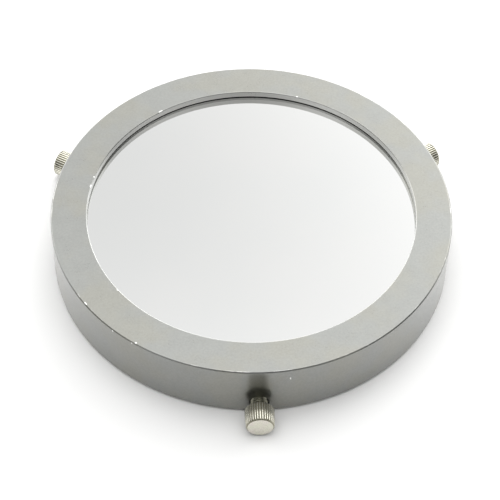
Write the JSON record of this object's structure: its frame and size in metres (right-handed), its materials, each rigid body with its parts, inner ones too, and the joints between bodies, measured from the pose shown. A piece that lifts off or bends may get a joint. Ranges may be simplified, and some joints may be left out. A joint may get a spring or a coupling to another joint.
{
  "type": "telescope solar filter",
  "caption": "Full-aperture front solar filter: mirror-coated glass disc in a round aluminium cell that clamps over a telescope tube with radial knurled thumbscrews.",
  "frame": {"origin": "on the cell's axis, in the plane of the skirt's open rear rim", "axes": "+Z along the cell's axis towards the sky side (front lip); -Y towards the front thumbscrew; the other two thumbscrews are at 30 and 150 degrees from +X"},
  "size_m": [0.1224, 0.1285, 0.0187],
  "materials": {
    "cell": "bead-blasted and clear anodised, satin, faint uneven tone",
    "gasket": "black die-cut sheet rubber",
    "filter": "polished float glass with a bright metal reflecting coat on the sky side",
    "retaining_ring": "turned and black anodised",
    "felt": "pressed black wool felt",
    "screw": "nickel-plated, warm tone, straight knurl, turned end face",
    "nylon": "natural nylon, slightly translucent"
  },
  "bodies": {
    "cell": {"cell_ring": "cell", "front_gasket": "gasket", "filter_glass": "filter", "rear_gasket": "gasket", "retaining_ring": "retaining_ring", "seat_felt": "felt"},
    "tip_front": {"nylon_tip_front": "nylon"},
    "screw_front": {"thumbscrew_front": "screw"},
    "tip_right": {"nylon_tip_right": "nylon"},
    "screw_right": {"thumbscrew_right": "screw"},
    "tip_left": {"nylon_tip_left": "nylon"},
    "screw_left": {"thumbscrew_left": "screw"}
  },
  "joints": [
    {"name": "screw_front_travel", "type": "slide", "parent": "cell", "child": "tip_front", "axis": [0, -1, 0], "range_m": [-0.0024, 0.0024]},
    {"name": "screw_front_turn", "type": "hinge", "parent": "tip_front", "child": "screw_front", "pos_m": [0, -0.06, 0.00427], "axis": [0, -1, 0], "range_deg": [-1080, 1080]},
    {"name": "screw_right_travel", "type": "slide", "parent": "cell", "child": "tip_right", "axis": [0.866, 0.5, 0], "range_m": [-0.0024, 0.0024]},
    {"name": "screw_right_turn", "type": "hinge", "parent": "tip_right", "child": "screw_right", "pos_m": [0.05196, 0.03, 0.00427], "axis": [0.866, 0.5, 0], "range_deg": [-1080, 1080]},
    {"name": "screw_left_travel", "type": "slide", "parent": "cell", "child": "tip_left", "axis": [-0.866, 0.5, 0], "range_m": [-0.0024, 0.0024]},
    {"name": "screw_left_turn", "type": "hinge", "parent": "tip_left", "child": "screw_left", "pos_m": [-0.05196, 0.03, 0.00427], "axis": [-0.866, 0.5, 0], "range_deg": [-1080, 1080]}
  ],
  "couplings": [
    {"joint": "screw_front_turn", "follows": "screw_front_travel", "rad_per_m": 7854},
    {"joint": "screw_right_turn", "follows": "screw_right_travel", "rad_per_m": 7854},
    {"joint": "screw_left_turn", "follows": "screw_left_travel", "rad_per_m": 7854}
  ]
}
